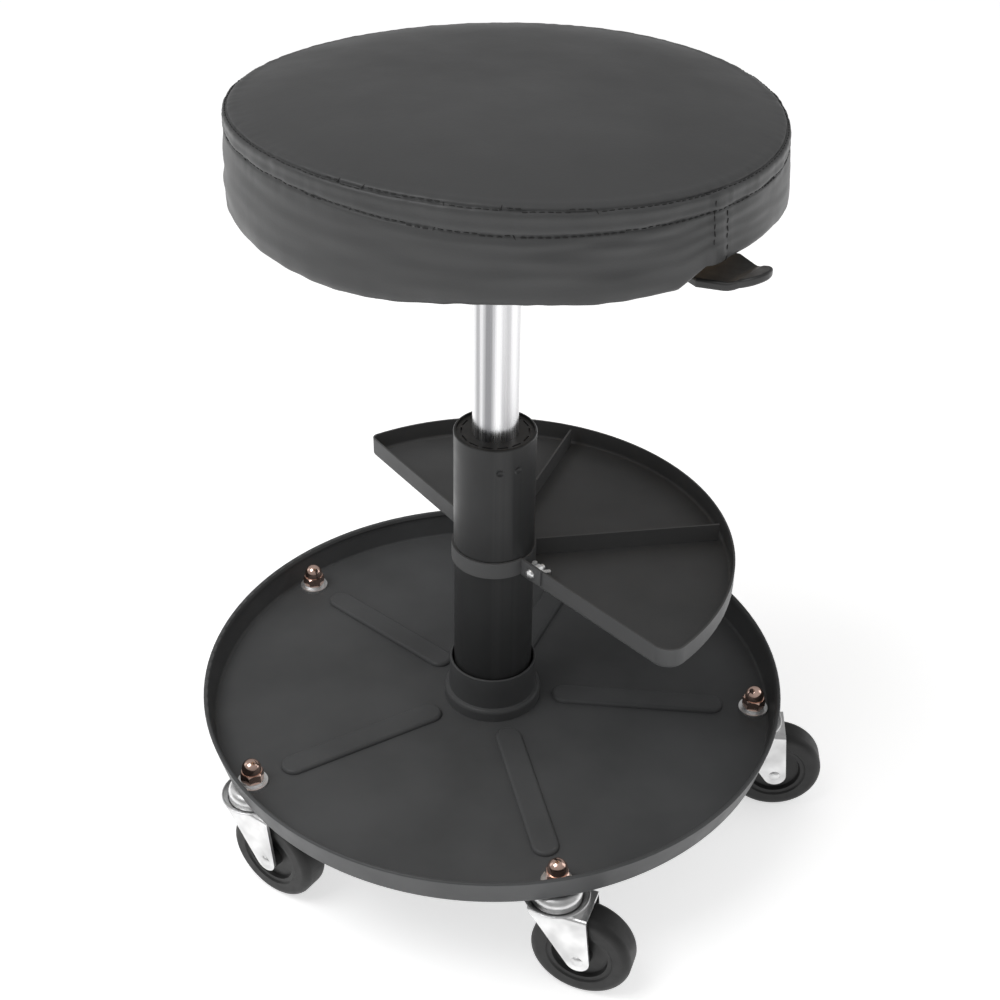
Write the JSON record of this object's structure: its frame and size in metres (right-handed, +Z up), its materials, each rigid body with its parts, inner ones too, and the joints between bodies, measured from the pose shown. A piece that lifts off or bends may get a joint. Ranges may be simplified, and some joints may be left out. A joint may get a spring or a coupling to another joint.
{
  "type": "swivel stool",
  "caption": "Rolling workshop stool: round padded vinyl seat on a gas lift, half-moon tool tray that swings round the column, and a round ribbed base tray on swivel casters.",
  "frame": {"origin": "on the floor under the lift column's axis, where the wheels stand", "axes": "+Z up along the lift column; +X to the right and -Y towards the front, as the stool stands with its tool tray to the rear right"},
  "size_m": [0.4134, 0.3861, 0.4976],
  "materials": {
    "black_powder_coat": "smooth semi-gloss black powder coat",
    "black_column_paint": "satin black paint",
    "black_bush_plastic": "moulded, low sheen",
    "bearing_steel": "ground steel",
    "zinc_plate": "bright zinc plate on pressed steel",
    "bright_washer": "bright plated",
    "copper_chrome": "copper-tinted bright plate",
    "chrome_tube": "fine vertical brushing under bright chrome",
    "piston_nylon": "machined nylon",
    "bumper_rubber": "moulded rubber",
    "lever_steel": "satin black paint",
    "plywood": "unfinished plywood",
    "foam": "open-cell foam",
    "black_vinyl": "smooth vinyl with fine grain and low sheen",
    "caster_tyre": "smooth hard rubber",
    "caster_core": "moulded nylon"
  },
  "bodies": {
    "base": {"base_tray": "black_powder_coat", "column_socket": "black_powder_coat", "column_tube": "black_column_paint", "column_bush": "black_bush_plastic", "thrust_washer_lower": "bearing_steel", "caster_stems": "zinc_plate", "caster_caps": "zinc_plate", "flat_washers": "bright_washer", "lock_washers": "bright_washer", "acorn_nuts": "copper_chrome", "swivel_balls": "bearing_steel"},
    "spindle": {"piston_rod": "bearing_steel", "piston": "piston_nylon", "thrust_balls": "bearing_steel", "thrust_washer_upper": "bearing_steel", "bump_stop": "bumper_rubber", "rod_clip": "bearing_steel"},
    "seat": {"pressure_tube": "chrome_tube", "rod_gland": "piston_nylon", "cone_socket": "black_column_paint", "lever_housing": "black_column_paint", "seat_plate": "black_column_paint", "lever_pin": "zinc_plate", "seat_bolts": "zinc_plate", "t_nuts": "zinc_plate", "seat_board": "plywood", "seat_foam": "foam", "seat_cover": "black_vinyl"},
    "lever": {"lever_arm": "lever_steel", "lever_paddle": "black_bush_plastic"},
    "valve": {"valve_pin": "chrome_tube"},
    "tool_tray": {"tool_tray": "black_powder_coat", "tray_divider_1": "black_powder_coat", "tray_divider_2": "black_powder_coat", "tray_band": "black_powder_coat", "clamp_screws": "zinc_plate", "wing_nuts": "zinc_plate"},
    "caster_1": {"caster_fork_1": "zinc_plate", "caster_axle_1": "zinc_plate"},
    "wheel_1": {"caster_tyre_1": "caster_tyre", "caster_hub_1": "caster_core"},
    "caster_2": {"caster_fork_2": "zinc_plate", "caster_axle_2": "zinc_plate"},
    "wheel_2": {"caster_tyre_2": "caster_tyre", "caster_hub_2": "caster_core"},
    "caster_3": {"caster_fork_3": "zinc_plate", "caster_axle_3": "zinc_plate"},
    "wheel_3": {"caster_tyre_3": "caster_tyre", "caster_hub_3": "caster_core"},
    "caster_4": {"caster_fork_4": "zinc_plate", "caster_axle_4": "zinc_plate"},
    "wheel_4": {"caster_tyre_4": "caster_tyre", "caster_hub_4": "caster_core"},
    "caster_5": {"caster_fork_5": "zinc_plate", "caster_axle_5": "zinc_plate"},
    "wheel_5": {"caster_tyre_5": "caster_tyre", "caster_hub_5": "caster_core"}
  },
  "joints": [
    {"name": "seat_swivel", "type": "hinge", "parent": "base", "child": "spindle", "pos_m": [0, 0, 0.06], "axis": [0, 0, 1], "continuous": true},
    {"name": "seat_lift", "type": "slide", "parent": "spindle", "child": "seat", "axis": [0, 0, 1], "range_m": [-0.115, 0.012]},
    {"name": "lever_lift", "type": "hinge", "parent": "seat", "child": "lever", "pos_m": [0.0289, -0.02468, 0.437], "axis": [-0.6494, -0.7604, 0], "range_deg": [0, 3.5], "stiffness_Nm_per_rad": 3, "springref_deg": -6.88},
    {"name": "valve_press", "type": "slide", "parent": "seat", "child": "valve", "axis": [0, 0, 1], "range_m": [-0.0026, 0]},
    {"name": "tray_swing", "type": "hinge", "parent": "base", "child": "tool_tray", "pos_m": [0, 0, 0.195], "axis": [0, 0, 1], "continuous": true},
    {"name": "caster_swivel_1", "type": "hinge", "parent": "base", "child": "caster_1", "pos_m": [-0.13122, 0.11427, 0.07], "axis": [0, 0, 1], "continuous": true},
    {"name": "wheel_spin_1", "type": "hinge", "parent": "caster_1", "child": "wheel_1", "pos_m": [-0.14899, 0.11903, 0.03125], "axis": [-0.2588, -0.9659, 0], "continuous": true},
    {"name": "caster_swivel_2", "type": "hinge", "parent": "base", "child": "caster_2", "pos_m": [-0.14922, -0.08949, 0.07], "axis": [0, 0, 1], "continuous": true},
    {"name": "wheel_spin_2", "type": "hinge", "parent": "caster_2", "child": "wheel_2", "pos_m": [-0.13413, -0.10001, 0.03125], "axis": [0.5721, 0.8202, 0], "continuous": true},
    {"name": "caster_swivel_3", "type": "hinge", "parent": "base", "child": "caster_3", "pos_m": [0.03899, -0.16957, 0.07], "axis": [0, 0, 1], "continuous": true},
    {"name": "wheel_spin_3", "type": "hinge", "parent": "caster_3", "child": "wheel_3", "pos_m": [0.05632, -0.17578, 0.03125], "axis": [0.3371, 0.9415, 0], "continuous": true},
    {"name": "caster_swivel_4", "type": "hinge", "parent": "base", "child": "caster_4", "pos_m": [0.17333, -0.01532, 0.07], "axis": [0, 0, 1], "continuous": true},
    {"name": "wheel_spin_4", "type": "hinge", "parent": "caster_4", "child": "wheel_4", "pos_m": [0.19168, -0.01652, 0.03125], "axis": [0.0654, 0.9979, 0], "continuous": true},
    {"name": "caster_swivel_5", "type": "hinge", "parent": "base", "child": "caster_5", "pos_m": [0.06813, 0.16011, 0.07], "axis": [0, 0, 1], "continuous": true},
    {"name": "wheel_spin_5", "type": "hinge", "parent": "caster_5", "child": "wheel_5", "pos_m": [0.08406, 0.16931, 0.03125], "axis": [-0.5, 0.866, 0], "continuous": true}
  ],
  "couplings": [
    {"joint": "valve_press", "follows": "lever_lift", "m_per_rad": -0.038}
  ]
}
